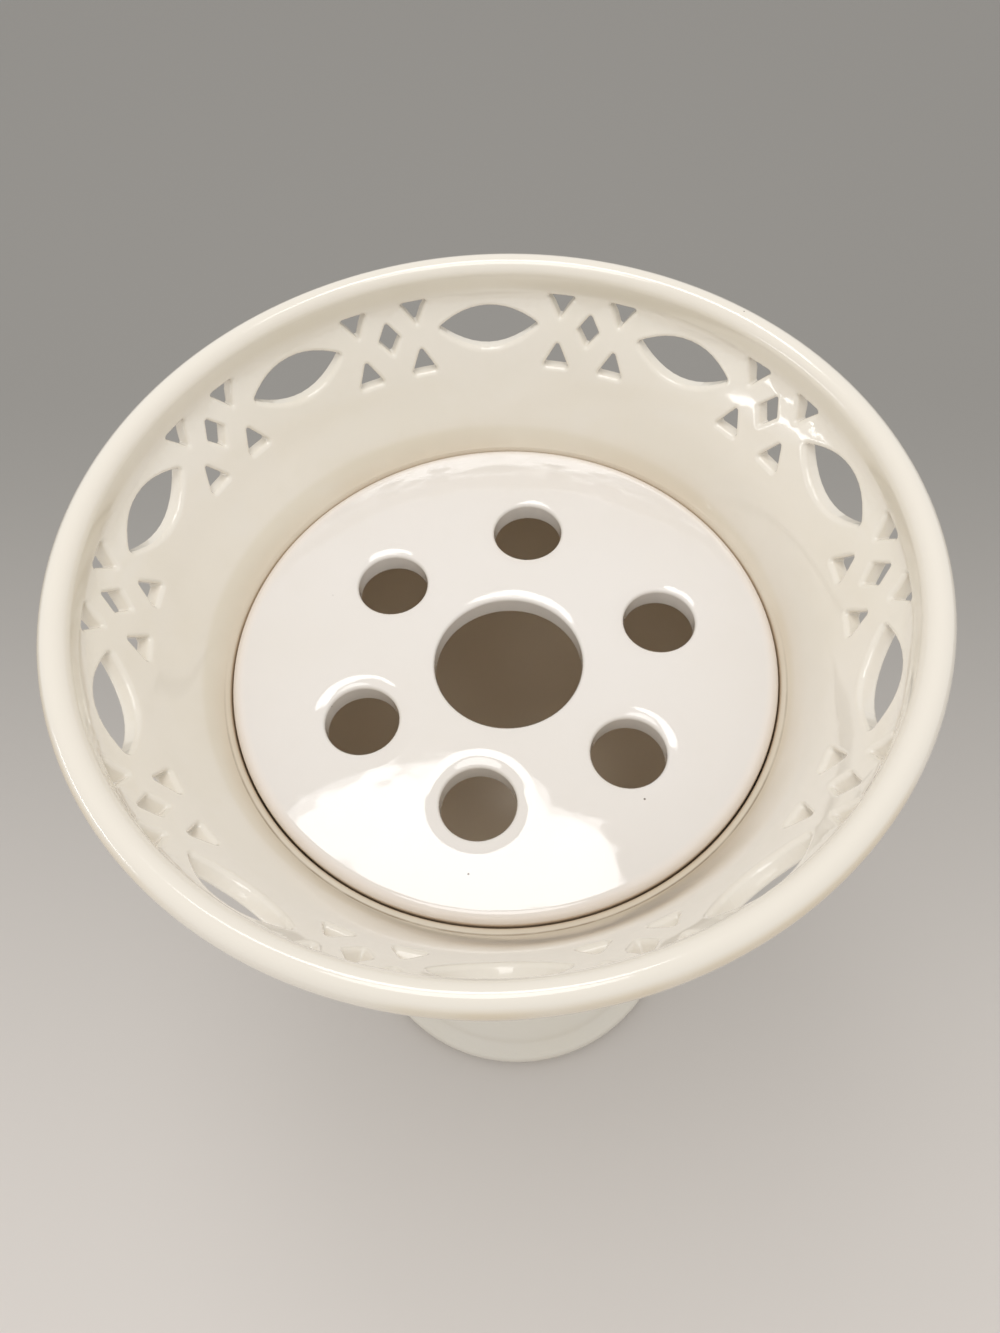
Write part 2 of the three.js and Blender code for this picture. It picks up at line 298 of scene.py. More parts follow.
class GalleryWall:
    """The gallery's inner face as one curve, and places through the wall behind it."""

    def __init__(self, sizes, tilt):
        rim = (bowl_high.x - bowl_low.x) / 2
        self.lip_z = bowl_high.z - sizes.lip_roll
        self.ledge_z = self.lip_z - sizes.gallery_height
        self.wall = sizes.wall
        self.tilt = tilt
        self.cup = sizes.gallery_foot - sizes.ledge_width
        self.cup_z = self.ledge_z - sizes.ledge_depth
        self.cup_deep = sizes.cup_depth - sizes.wall
        foot = Vector((sizes.gallery_foot - sizes.seat_inset, self.ledge_z))
        corner = foot + Vector((sizes.seat_lean, sizes.seat_height))
        low = corner + Vector(sizes.shelf)
        self.shelf_z = corner.y
        self.crease_z = low.y
        self.crease = low.x
        top = Vector((rim - sizes.flare_inset, self.lip_z - sizes.flare_drop))
        lean = Vector((sizes.flare_slope, 1))
        flare = bezier(low, low + Vector(sizes.flare_start), top - sizes.flare_end * lean, top, 60)
        flare = [p for p in flare if (p - low).length > sizes.seat_edge]
        seat = [foot] + rounded_corner(foot, corner, low, sizes.seat_edge, 6)
        seat += rounded_corner(corner, low, flare[0], sizes.seat_edge, 6)
        collar = Vector((rim - sizes.collar_inset, self.lip_z - sizes.collar_drop))
        bend = top + lean * (collar.x - top.x) / sizes.flare_slope
        self.points = seat + flare + bent(top, bend, collar, 20)[1:]
        self.points.append(Vector((collar.x, self.lip_z)))

    def at(self, height):
        """Inside radius and lean of the wall at one height."""
        for low, high in zip(self.points, self.points[1:]):
            if height <= high.y:
                break
        part = (height - low.y) / (high.y - low.y)
        return low.x + (high.x - low.x) * part, math.atan2(high.x - low.x, high.y - low.y)

    def lean_at(self, height):
        """Lean of the wall, evened out over a short height."""
        reach = 0.8 * MM
        return (self.at(height - reach)[1] + self.at(height)[1] + self.at(height + reach)[1]) / 3

    def place(self, height, depth):
        """Radius and height of a point that a punch reaches, in from the inner face by depth."""
        lean = self.lean_at(height)
        met = height + depth * math.tan(lean - self.tilt) * math.cos(lean)
        radius = self.at(met)[0]
        lean = self.lean_at(met)
        return Vector((radius + depth * math.cos(lean), met - depth * math.sin(lean)))


def spun(bm, points, steps, azimuth=0.0):
    """Turns a profile of (radius, height) points once round the axis."""
    flat = [bm.verts.new((p.x * math.cos(azimuth), p.x * math.sin(azimuth), p.y)) for p in points]
    edges = [bm.edges.new(pair) for pair in zip(flat, flat[1:])]
    bmesh.ops.spin(
        bm, geom=flat + edges, cent=(0, 0, 0), axis=(0, 0, 1), dvec=(0, 0, 0), angle=FULL_TURN, steps=steps,
        use_merge=True)


def finished(name, bm, node, body, material):
    """Closes a bmesh into an object that stands for a CAD node and rides on its body."""
    bmesh.ops.remove_doubles(bm, verts=bm.verts[:], dist=MERGE)
    bmesh.ops.dissolve_degenerate(bm, edges=bm.edges[:], dist=MERGE)
    bmesh.ops.recalc_face_normals(bm, faces=bm.faces[:])
    for face in bm.faces:
        face.smooth = True
    mesh = bpy.data.meshes.new(name)
    bm.to_mesh(mesh)
    bm.free()
    piece = bpy.data.objects.new(name, mesh)
    bpy.context.scene.collection.objects.link(piece)
    mesh.materials.append(material)
    even = piece.modifiers.new("Even shading", "WEIGHTED_NORMAL")
    even.mode = "FACE_AREA_WITH_ANGLE"
    even.weight = 50
    even.keep_sharp = False
    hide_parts(node)
    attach(piece, body)
    return piece


def softened(corners, shrink, grow):
    """A convex outline taken in by shrink and let out again by grow, which rounds its corners."""
    flat_enough = math.radians(20)
    facet = math.radians(22)
    outline = []
    count = len(corners)
    for i, corner in enumerate(corners):
        before = (corner - corners[i - 1]).normalized()
        after = (corners[(i + 1) % count] - corner).normalized()
        turned = math.atan2(before.x * after.y - before.y * after.x, before.dot(after))
        first = Vector((before.y, -before.x))
        middle = Matrix.Rotation(turned / 2, 2) @ first
        base = corner - middle * shrink / math.cos(turned / 2)
        if turned < flat_enough:
            outline.append(base + middle * grow / math.cos(turned / 2))
            continue
        steps = math.ceil(turned / facet)
        for j in range(steps + 1):
            outline.append(base + Matrix.Rotation(turned * j / steps, 2) @ first * grow)
    return outline


def closed_loop(bm, outline, height):
    """New vertices and edges round one outline."""
    verts = [bm.verts.new((p.x, p.y, height)) for p in outline]
    edges = [bm.edges.new(pair) for pair in zip(verts, verts[1:] + verts[:1])]
    return verts, edges


def pierced_sheet(bm, border, holes, edge, thickness, shoulder=0.0, slump=0.0):
    """A flat sheet with soft-edged holes, with its face at height 0 and its back below."""
    support = edge / 3
    half = thickness / 2
    lean = math.atan2(2 * slump, shoulder)
    sink = [(support, 0.0)]
    rows = 4 if shoulder else 0
    for i in range(rows):
        sink.append((shoulder / rows, slump * (2 * i + 1) / rows ** 2))
    steps = 5
    turns = [lean + (math.pi / 2 - lean) * i / steps for i in range(steps + 1)]
    for low, high in zip(turns, turns[1:]):
        sink.append((edge * (math.sin(high) - math.sin(low)), edge * (math.cos(low) - math.cos(high))))
    sink.append((0.0, half - sum(down for inward, down in sink)))
    border_edges = closed_loop(bm, border, half)[1]
    reach = edge / 2 + sum(inward for inward, down in sink)
    rings = [closed_loop(bm, softened(hole, edge / 2, reach), half) for hole in holes]
    every_edge = border_edges + [e for ring in rings for e in ring[1]]
    bmesh.ops.triangle_fill(bm, use_beauty=True, use_dissolve=False, edges=every_edge, normal=(0, 0, 1))
    plugs = [bm.faces.new(verts) for verts, edges in rings]
    for plug in plugs:
        plug.normal_update()
        if plug.normal.z < 0:
            plug.normal_flip()
    for inward, down in sink:
        bmesh.ops.inset_individual(bm, faces=plugs, thickness=inward, depth=-down, use_even_offset=True)
    bmesh.ops.delete(bm, geom=plugs, context="FACES_ONLY")
    everything = bm.verts[:] + bm.edges[:] + bm.faces[:]
    bmesh.ops.mirror(bm, geom=everything, matrix=Matrix.Identity(4), merge_dist=MERGE, axis="Z")
    bmesh.ops.translate(bm, verts=bm.verts[:], vec=(0, 0, -half))


def sliced(bm, axis, places):
    """Cuts everything by planes across one axis, so that a flat sheet can be bent."""
    normal = Vector((axis == "x", axis == "y", 0))
    for place in places:
        geometry = bm.verts[:] + bm.edges[:] + bm.faces[:]
        bmesh.ops.bisect_plane(bm, geom=geometry, dist=MERGE, plane_co=normal * place, plane_no=normal)


class PatternTile:
    """One repeat of the piercing, flat: across in radians times the pattern's radius, up in height."""

    def __init__(self, sizes, gallery):
        self.sizes = sizes
        self.gallery = gallery
        self.pitch = FULL_TURN / sizes.repeats
        below = 2.4 * MM
        above = 1.92 * MM
        beside = math.radians(0.6)
        self.low = gallery.lip_z - sizes.lower_base - below
        self.high = gallery.lip_z - sizes.upper_top + above
        self.seam = sizes.lens_half + beside

    def flat(self, angle, drop):
        """A point of the sheet from an angle round the vase and a height below the lip."""
        return Vector((angle * self.sizes.radius, self.gallery.lip_z - drop))

    def lens(self):
        """The long lens, counter-clockwise from its left tip along the lower curve."""
        s = self.sizes
        left, right = (self.flat(side * s.lens_half, s.lens_drop) for side in (-1, 1))
        under = self.flat(0, s.lens_drop + 2 * s.lens_fall)
        over = self.flat(0, s.lens_drop - 2 * s.lens_rise)
        steps = 12
        return bent(left, under, right, steps)[:-1] + bent(right, over, left, steps)[:-1]

    def group(self):
        """Four triangles round a diamond, half a repeat to the left of the lens."""
        s = self.sizes
        middle = -self.pitch / 2
        holes = [[
            self.flat(middle, s.diamond_foot),
            self.flat(middle + s.diamond_half, (s.diamond_top + s.diamond_foot) / 2),
            self.flat(middle, s.diamond_top),
            self.flat(middle - s.diamond_half, (s.diamond_top + s.diamond_foot) / 2),
        ]]
        for side in (-1, 1):
            at = middle + side * s.triangle_middle
            holes.append([
                self.flat(at, s.upper_point),
                self.flat(at + s.triangle_half, s.upper_top),
                self.flat(at - s.triangle_half, s.upper_top),
            ])
            holes.append([
                self.flat(at - s.triangle_half, s.lower_base),
                self.flat(at + s.triangle_half, s.lower_base),
                self.flat(at, s.lower_point),
            ])
        return holes

    def border(self):
        """The tile's outline, whose two sides are alike and pass between the lens and the group."""
        s = self.sizes
        lip = self.gallery.lip_z
        sway = math.radians(0.35)
        side = [
            (self.seam, lip - self.low),
            (self.seam - sway, s.lower_base),
            (self.seam + sway, s.lens_drop),
            (self.seam - sway, s.upper_top),
            (self.seam, lip - self.high),
        ]
        right = [self.flat(angle, drop) for angle, drop in side]
        left = [self.flat(angle - self.pitch, drop) for angle, drop in reversed(side)]
        return right + left

    def bent_place(self, flat):
        """Where a point of the flat tile lies in the wall."""
        azimuth = self.sizes.first_lens + flat.x / self.sizes.radius
        there = self.gallery.place(flat.y, -flat.z)
        return Vector((there.x * math.cos(azimuth), there.x * math.sin(azimuth), there.y))

    def add_to(self, bm):
        """Makes the tile, bends it into the wall and turns copies of it round the vase."""
        pierced_sheet(bm, self.border(), [self.lens()] + self.group(), self.sizes.edge, self.gallery.wall)
        per_tile = AROUND // self.sizes.repeats
        step = self.pitch / per_tile
        sliced(bm, "x", [(self.seam - i * step) * self.sizes.radius for i in range(1, per_tile)])
        rows = round((self.high - self.low) / TILE_ROW)
        sliced(bm, "y", [self.low + (self.high - self.low) * i / rows for i in range(1, rows)])
        bmesh.ops.triangulate(bm, faces=[face for face in bm.faces if len(face.verts) > 4])
        for vert in bm.verts:
            vert.co = self.bent_place(vert.co)
        bmesh.ops.spin(
            bm, geom=bm.verts[:] + bm.edges[:] + bm.faces[:], cent=(0, 0, 0), axis=(0, 0, 1), dvec=(0, 0, 0),
            angle=self.pitch * (self.sizes.repeats - 1), steps=self.sizes.repeats - 1, use_duplicate=True)


def lip_profile(sizes, gallery, tile):
    """The section above the pierced band: the cove, the round lip and the outside under it."""
    lip = (bowl_high.x - bowl_low.x) / 2 - sizes.lip_roll
    cove = [Vector((gallery.at(tile.high + up)[0], tile.high + up)) for up in (0, 0.6 * MM, 1.2 * MM)]
    crease = Vector((gallery.points[-1].x, gallery.lip_z - 1.6 * MM))
    inside_end, outside_end = 178, -28
    roll = arc(lip, gallery.lip_z, sizes.lip_roll, sizes.lip_roll, inside_end, outside_end, 22)
    outside = [gallery.place(tile.high + up, gallery.wall) for up in (0.7 * MM, 0)]
    return cove + [crease] + roll + outside


def inside_profile(gallery, tile):
    """The section inside, from the pierced band over the seat and the ledge to the bottom of the cup."""
    ledge_fillet = 1.8 * MM
    ledge_edge = 1 * MM
    ledge_out = gallery.points[0]
    ledge_in = Vector((gallery.cup, gallery.ledge_z))
    cup_top = Vector((gallery.cup, gallery.cup_z))
    points = [Vector((gallery.at(tile.low)[0], tile.low))]
    points += [p for p in gallery.points[:0:-1] if p.y < tile.low - 0.2 * MM]
    points += rounded_corner(points[-1], ledge_out, ledge_in, ledge_fillet)
    points += rounded_corner(ledge_out, ledge_in, cup_top, ledge_edge)
    return points + arc(0, gallery.cup_z, gallery.cup, gallery.cup_deep, 0, -90, 40)


def outside_profile(sizes, gallery, tile):
    """The section outside, from the axis over the slip, the boss, the cup and the bead to the piercings."""
    outer_cup = gallery.cup + sizes.wall
    sweep = math.degrees(sizes.cup_sweep)
    round_cup = arc(0, gallery.cup_z, outer_cup, sizes.cup_depth, -sweep, 0, 30)
    start, following = round_cup[:2]
    slope = (following.y - start.y) / (following.x - start.x)
    bend_x = sizes.boss + 3 * MM
    bend = Vector((bend_x, start.y + slope * (bend_x - start.x)))
    slip_x = sizes.boss - 0.6 * MM
    slip_z = bowl_low.z - 0.1 * MM
    slip_bulge = 1.1 * MM
    slip = arc(slip_x, slip_z, slip_bulge, sizes.slip / 2, -120, 60, 12)
    base = [Vector((0, bowl_low.z)), Vector((slip[0].x, bowl_low.z))]
    boss = bent(slip[-1], bend, start, 10)
    bead_x = sizes.gallery_foot + sizes.bead
    bead = arc(bead_x, gallery.ledge_z - sizes.bead / 2, sizes.bead, sizes.bead, -100, 62, 12)
    rows = 12
    first = gallery.crease_z + 3 * MM
    heights = [first + (tile.low - first) * i / rows for i in range(rows + 1)]
    outer = [gallery.place(z, gallery.wall) for z in heights]
    return base + slip + boss[1:] + round_cup[1:] + bead + outer


def shift_neck(bm, sizes, gallery, tile):
    """Moves the neck sideways and widens the shelf in front, less and less towards cup and piercings."""
    for vert in bm.verts:
        above = (vert.co.z - gallery.crease_z) / (tile.low - gallery.crease_z)
        below = (gallery.cup_z - vert.co.z) / (sizes.cup_depth / 3)
        away = min(1, max(0, above, below))
        kept = 1 - away * away * (3 - 2 * away)
        over_seat = (vert.co.z - gallery.shelf_z) / (gallery.crease_z - gallery.shelf_z)
        vert.co.x += sizes.neck_shift * kept
        vert.co.y -= sizes.shelf_shift * kept * min(1, max(0, over_seat))


class OBJECT_OT_vase_bowl(bpy.types.Operator):
    """Makes the bowl with its pierced gallery and rolled lip"""

    bl_idname = "object.vase_bowl"
    bl_label = "Bowl"

    def execute(self, context):
        sizes = context.scene.vase_bowl
        pattern = context.scene.vase_pattern
        gallery = GalleryWall(sizes, pattern.punch_tilt)
        tile = PatternTile(pattern, gallery)
        bm = bmesh.new()
        tile.add_to(bm)
        start = pattern.first_lens + tile.seam
        spun(bm, lip_profile(sizes, gallery, tile), AROUND, start)
        spun(bm, inside_profile(gallery, tile), AROUND, start)
        spun(bm, outside_profile(sizes, gallery, tile), AROUND, start)
        shift_neck(bm, sizes, gallery, tile)
        material = bowl_glaze(context.scene.vase_glaze, gallery)
        finished("vase_bowl", bm, "bowl", "vase", material)
        return {"FINISHED"}


class OBJECT_OT_vase_foot(bpy.types.Operator):
    """Makes the spreading foot with its stem and knop"""

    bl_idname = "object.vase_foot"
    bl_label = "Pedestal foot"

    def execute(self, context):
        s = context.scene.vase_foot
        radius = (foot_high.x - foot_low.x) / 2
        top = foot_high.z
        half = s.edge / 2
        upright = Vector((0, 2 * s.dome))
        dome_foot = Vector((radius - s.step, s.edge + s.step_rise))
        waist = Vector((s.stem, s.waist))
        rise = bezier(dome_foot, dome_foot + Vector((-s.shoulder, s.dome)), waist - upright, waist, 36)
        neck = Vector((s.stem, s.neck))
        boss = Vector((context.scene.vase_bowl.boss, top))
        flare = bent(neck, Vector((s.stem, (s.neck + top) / 2)), boss, 12)
        ring = Vector((radius - s.ring, 0))
        inner_foot = Vector((ring.x, half))
        inner_dome = Vector((ring.x - s.shoulder, s.dome + s.step_rise))
        bore = Vector((s.bore, s.waist))
        hollow = bezier(inner_foot, inner_dome, bore - upright, bore, 30)
        edge = arc(radius - half, half, half, half, -90, 80, 14)
        knop = arc(s.stem, s.knop_height, s.knop - s.stem, s.knop_half, -90, 90, 20)
        outer = [ring] + edge + rise + knop + flare
        bm = bmesh.new()
        spun(bm, outer + [Vector((s.bore, top))] + hollow[::-1] + [ring.copy()], AROUND)
        material = foot_glaze(context.scene.vase_glaze)
        finished("vase_foot", bm, "pedestal_foot", "vase", material)
        return {"FINISHED"}


class OBJECT_OT_vase_holder(bpy.types.Operator):
    """Makes the loose disc that holds the stems"""

    bl_idname = "object.vase_holder"
    bl_label = "Flower holder"

    def execute(self, context):
        s = context.scene.vase_holder
        middle = (holder_low + holder_high) / 2
        radius = (holder_high.x - holder_low.x) / 2
        thickness = holder_high.z - holder_low.z
        flat = radius - s.edge - 0.4 * MM
        stem_pitch = 360 / len(STEM_DRIFT)
        holes = [(Vector(s.middle_drift), s.middle_hole, MIDDLE_HOLE_AROUND)]
        for i, (round_by, outward) in enumerate(STEM_DRIFT):
            azimuth = s.first_stem + math.radians(round_by - stem_pitch * i)
            ring = s.stem_ring + outward * MM
            place = Vector((ring * math.cos(azimuth), ring * math.sin(azimuth)))
            holes.append((place, s.stem_hole, STEM_HOLE_AROUND))
        outlines = [[at + p for p in arc(0, 0, r, r, 0, 360, n)[:-1]] for at, r, n in holes]
        border = arc(0, 0, flat, flat, 0, 360, AROUND)[:-1]
        bm = bmesh.new()
        pierced_sheet(bm, border, outlines, s.hole_edge, thickness, s.shoulder, s.slump)
        rim = radius - s.edge
        round_edge = arc(rim, -s.edge, s.edge, s.edge, 90, 0, 8)
        round_foot = arc(rim, s.edge - thickness, s.edge, s.edge, 0, -90, 8)
        spun(bm, [Vector((flat, 0))] + round_edge + round_foot + [Vector((flat, -thickness))], AROUND)
        for vert in bm.verts:
            vert.co += Vector((middle.x, middle.y, holder_high.z))
        material = holder_glaze(context.scene.vase_glaze)
        finished("vase_holder", bm, "flower_holder", "holder", material)
        return {"FINISHED"}


class Wire:
    """One output of a node, so that shader maths can be written as an expression."""

    def __init__(self, tree, output):
        self.tree = tree
        self.output = output

    def maths(self, operation, *values):
        """A Math node on these values, the wire itself among them."""
        node = self.tree.nodes.new("ShaderNodeMath")
        node.operation = operation
        for socket, value in zip(node.inputs, values):
            join(self.tree, socket, value)
        return Wire(self.tree, node.outputs[0])

    def __add__(self, other):
        return self.maths("ADD", self, other)

    def __radd__(self, other):
        return self.maths("ADD", other, self)

    def __sub__(self, other):
        return self.maths("SUBTRACT", self, other)

    def __rsub__(self, other):
        return self.maths("SUBTRACT", other, self)

    def __mul__(self, other):
        return self.maths("MULTIPLY", self, other)

    def __rmul__(self, other):
        return self.maths("MULTIPLY", other, self)

    def __truediv__(self, other):
        return self.maths("DIVIDE", self, other)

    def __pow__(self, other):
        return self.maths("POWER", self, other)


def join(tree, socket, value):
    """Links a wire to a socket, or writes a plain value on it, a colour with its alpha."""
    if isinstance(value, Wire):
        tree.links.new(value.output, socket)
    elif socket.type == "RGBA":
        socket.default_value = (*value, 1)
    else:
        socket.default_value = value


# Places of the sockets for colours on a Mix node, whose names it also uses for numbers
MIX_FACTOR, MIX_FIRST, MIX_SECOND = 0, 6, 7
MIX_COLOUR = 2


class Finish:
    """The nodes of a material or a world, made one at a time."""

    def __init__(self, owner):
        owner.use_nodes = True
        self.owner = owner
        self.tree = owner.node_tree
        self.tree.nodes.clear()

    def node(self, kind, settings=None, values=None, output=0):
        """A node of a kind, with its settings first, then its sockets, and one of its outputs as a wire."""
        node = self.tree.nodes.new(kind)
        for name, setting in (settings or {}).items():
            setattr(node, name, setting)
        for name, value in (values or {}).items():
            join(self.tree, node.inputs[name], value)
        return Wire(self.tree, node.outputs[output]) if node.outputs else None

    def place(self, axes="XYZ"):
        """Object coordinates, whole and along each axis asked for."""
        whole = self.node("ShaderNodeTexCoord", output="Object")
        return whole, [self.part(whole, axis) for axis in axes]

    def part(self, vector, axis):
        """One coordinate of a vector."""
        return self.node("ShaderNodeSeparateXYZ", None, {"Vector": vector}, axis)

    def noise(self, place, size, detail=1, roughness=0.5):
        """Soft noise between 0 and 1 whose features are about this size."""
        values = {"Vector": place, "Scale": 1 / size, "Detail": detail, "Roughness": roughness}
        return self.node("ShaderNodeTexNoise", None, values, "Fac")

    def between(self, value, low, high):
        """0 below low and 1 above high, eased between them."""
        values = {"Value": value, "From Min": low, "From Max": high}
        return self.node("ShaderNodeMapRange", {"interpolation_type": "SMOOTHSTEP"}, values, "Result")

    def near(self, value, middle, core, reach):
        """1 where the value is within core of the middle, eased to 0 at reach from it."""
        off = value - middle
        return 1 - self.between(off.maths("ABSOLUTE", off), core, reach)

    def mixed(self, share_of_second, first, second):
        """Two colours mixed, each of them a wire or a linear colour."""
        values = {MIX_FACTOR: share_of_second, MIX_FIRST: first, MIX_SECOND: second}
        return self.node("ShaderNodeMix", {"data_type": "RGBA"}, values, MIX_COLOUR)

    def specks(self, place, size, spacing, few):
        """1 on small round specks, one in some of the cells that are this far apart."""
        values = {"Vector": place, "Scale": 1 / spacing, "Randomness": 1.0}
        distance = self.node("ShaderNodeTexVoronoi", None, values, "Distance")
        chance = self.node("ShaderNodeTexVoronoi", None, values, "Color")
        picked = self.node("ShaderNodeSeparateColor", None, {"Color": chance}, "Red")
        round_speck = 1 - self.between(distance, size / spacing * 0.6, size / spacing)
        return round_speck * self.between(picked, 1 - few, 1.01 - few)

    def bump(self, height, strength, distance):
        """The normal of a surface that rises and falls with this height."""
        values = {"Height": height, "Strength": strength, "Distance": distance}
        return self.node("ShaderNodeBump", None, values, "Normal")

    def surface(self, values):
        """The shader and the material's output."""
        shader = self.node("ShaderNodeBsdfPrincipled", None, values)
        self.node("ShaderNodeOutputMaterial", None, {"Surface": shader})
        return self.owner


class CreamGlaze(Finish):
    """Glossy cream glaze: thicker and greener in places, worn on the edges, with a few iron specks."""

    def __init__(self, look, name):
        super().__init__(bpy.data.materials.new(name))
        self.look = look
        self.at, (self.x, self.y, self.z) = self.place()
        self.cloud = self.noise(self.at, 55 * MM, detail=3)
        self.mottle = self.noise(self.at, 9 * MM, detail=3, roughness=0.6)
        in_clouds = self.between(self.cloud, 0.35, 0.75) * look.clouds
        self.pooled = in_clouds + self.between(self.mottle, 0.45, 0.8) * look.mottles
        self.roughness = 0.07 + self.between(self.mottle, 0.3, 0.8) * 0.07

    def glazed(self, base, rubbed, roughness, gloss):
        """The material of a base colour that is worn where an edge is rubbed."""
        look = self.look
        worn = rubbed * self.between(self.cloud, 0.4, 0.6) * look.wear
        base = self.mixed(worn, base, look.worn)
        specks = self.specks(self.at, size=0.22 * MM, spacing=15 * MM, few=0.25)
        waves = self.noise(self.at, 16 * MM) * 0.7 + self.noise(self.at, 3.2 * MM) * 0.05
        return self.surface({
            "Base Color": self.mixed(specks * look.specks, base, look.speck), "Roughness": roughness,
            "Normal": self.bump(waves, 0.35, 0.5 * MM), "IOR": 1.5,
            "Coat Weight": gloss, "Coat Roughness": 0.04, "Coat IOR": 1.5,
        })


def foot_glaze(look):
    """The foot's glaze, darker than the bowl's as painted shade from the bowl above, and rubbed along the
    edge that the vase stands on.
    """
    glaze = CreamGlaze(look, "Foot glaze")
    base = glaze.mixed(glaze.pooled, look.foot, look.pooled)
    rubbed = 1 - glaze.between(glaze.z, 0.3 * MM, 1.8 * MM)
    return glaze.glazed(base, rubbed, glaze.roughness, look.gloss)


def seat_pool_and_shade(glaze, gallery, radius, base):
    """A base colour with pooled glaze on the shelf and painted shade round the holder's seat: a warm tint on
    the low wall, brown in the gap, a dark line in the crease.
    """
    look = glaze.look
    z = glaze.z
    crease = gallery.crease
    near_seat = 1 - glaze.between(radius, crease + 1.6 * MM, crease + 2.6 * MM)
    shelf = glaze.between(z, gallery.shelf_z - 1.5 * MM, gallery.shelf_z) * near_seat
    base = glaze.mixed(shelf * look.shelf_pool, base, look.pooled)

    # Painted warm shade on the low wall just outside the holder, fading upwards and outwards, patchy.
    wall_slope = 0.6
    past_wall = radius - (z - gallery.crease_z) * wall_slope
    inner_face = 1 - glaze.between(past_wall, crease + 1.4 * MM, crease + 2.4 * MM)
    low_wall = 1 - glaze.between(z, gallery.crease_z - 1 * MM, gallery.crease_z + 8 * MM)
    low_wall_shade = inner_face * low_wall * (0.12 + glaze.between(glaze.cloud, 0.4, 0.65) * 0.18)
    base = glaze.mixed(low_wall_shade, base, look.seat_shade)

    # Painted brown shade in the gap below the shelf, between the holder and its seat.
    under_shelf = 1 - glaze.between(z, gallery.shelf_z - 0.2 * MM, gallery.shelf_z + 0.5 * MM)
    crevice = under_shelf * near_seat * glaze.between(z, gallery.cup_z, gallery.ledge_z)
    base = glaze.mixed(crevice * look.crevice_shade, base, look.seat_shade)

    # Painted shade: a dark, patchy line along the crease above the seat, only on the side in front.
    in_crease = glaze.near(z, gallery.crease_z, 0.05 * MM, 0.35 * MM) * near_seat
    in_front = glaze.between(0 - glaze.y, -10 * MM, 45 * MM)
    patchy = 0.5 + glaze.between(glaze.mottle, 0.35, 0.65) * 0.5
    return glaze.mixed(in_crease * (in_front * patchy), base, look.crease_shade)


def bowl_glaze(look, gallery):
    """The bowl's glaze: thick under the lip, thin on its crown, with painted shade round the seat and a
    browner, duller glaze in the basin.
    """
    glaze = CreamGlaze(look, "Bowl glaze")
    z = glaze.z
    across = glaze.x * glaze.x + glaze.y * glaze.y
    radius = across ** 0.5
    under_lip = glaze.near(z, gallery.lip_z - 1.5 * MM, 0.5 * MM, 4 * MM)
    base = glaze.mixed(glaze.pooled + under_lip * look.lip_pool, look.cream, look.pooled)
    base = seat_pool_and_shade(glaze, gallery, radius, base)

    # 1 on the cup's inner face, and more than the second limit on its outer face
    down = (gallery.cup_z - z) / gallery.cup_deep
    in_cup = across / gallery.cup ** 2 + down * down
    # A browner, duller glaze inside the cup below the ledge.
    basin = 1 - glaze.between(in_cup, 1.03, 1.08)
    base = glaze.mixed(basin, base, look.basin)
    roughness = glaze.roughness + basin * 0.3
    gloss = look.gloss - basin * look.gloss

    crown = glaze.between(z, gallery.lip_z + 0.3 * MM, gallery.lip_z + 2.2 * MM)
    base = glaze.mixed(crown * look.crown_thin, base, look.thin)
    rubbed = glaze.between(radius, bowl_high.x - 1.4 * MM, bowl_high.x - 0.2 * MM)
    return glaze.glazed(base, rubbed, roughness, gloss)


def holder_glaze(look):
    """The holder's paler glaze, with slow waves that bend its reflections."""
    glaze = Finish(bpy.data.materials.new("Holder glaze"))
    at, (x, y) = glaze.place("XY")
    cloud = glaze.noise(at, 40 * MM, detail=3)
    mottle = glaze.noise(at, 8 * MM, detail=3, roughness=0.6)
    in_clouds = glaze.between(cloud, 0.35, 0.75) * look.ivory_clouds
    pooled = in_clouds + glaze.between(mottle, 0.5, 0.85) * look.ivory_mottles
    base = glaze.mixed(pooled, look.ivory, look.ivory_pooled)

    middle = (holder_low + holder_high) / 2
    rim = (holder_high.x - holder_low.x) / 2
    radius = ((x - middle.x) ** 2 + (y - middle.y) ** 2) ** 0.5
    thin = glaze.between(radius, rim - 3.5 * MM, rim - 1 * MM)
    base = glaze.mixed(thin, base, look.ivory_edge)
    # Painted brown shade on the holder's outermost edge, where it stands in the gap by its seat.
    edge = glaze.between(radius, rim - 0.3 * MM, rim)
    base = glaze.mixed(edge * look.ivory_edge_shade, base, look.seat_shade)

    specks = glaze.specks(at, size=0.3 * MM, spacing=7 * MM, few=0.3)
    waves = glaze.noise(at, 22 * MM) + glaze.noise(at, 9 * MM) * 0.45
    waves = waves + glaze.noise(at, 3.5 * MM) * 0.06
    return glaze.surface({
        "Base Color": glaze.mixed(specks * look.ivory_specks, base, look.speck),
        "Roughness": 0.035 + glaze.between(mottle, 0.3, 0.8) * 0.03,
        "Normal": glaze.bump(waves, 0.4, 0.6 * MM), "IOR": 1.5,
        "Coat Weight": look.gloss, "Coat Roughness": 0.03, "Coat IOR": 1.5,
    })


def area_lamp(name, at, turned, size, watts):
    """An oval lamp that shines down, turned by three angles."""
    data = bpy.data.lights.new(name, "AREA")
    data.shape = "ELLIPSE"
    data.size, data.size_y = size
    data.energy = watts
    lamp = bpy.data.objects.new(name, data)
    bpy.context.scene.collection.objects.link(lamp)
    lamp.location = at
    lamp.rotation_euler = turned


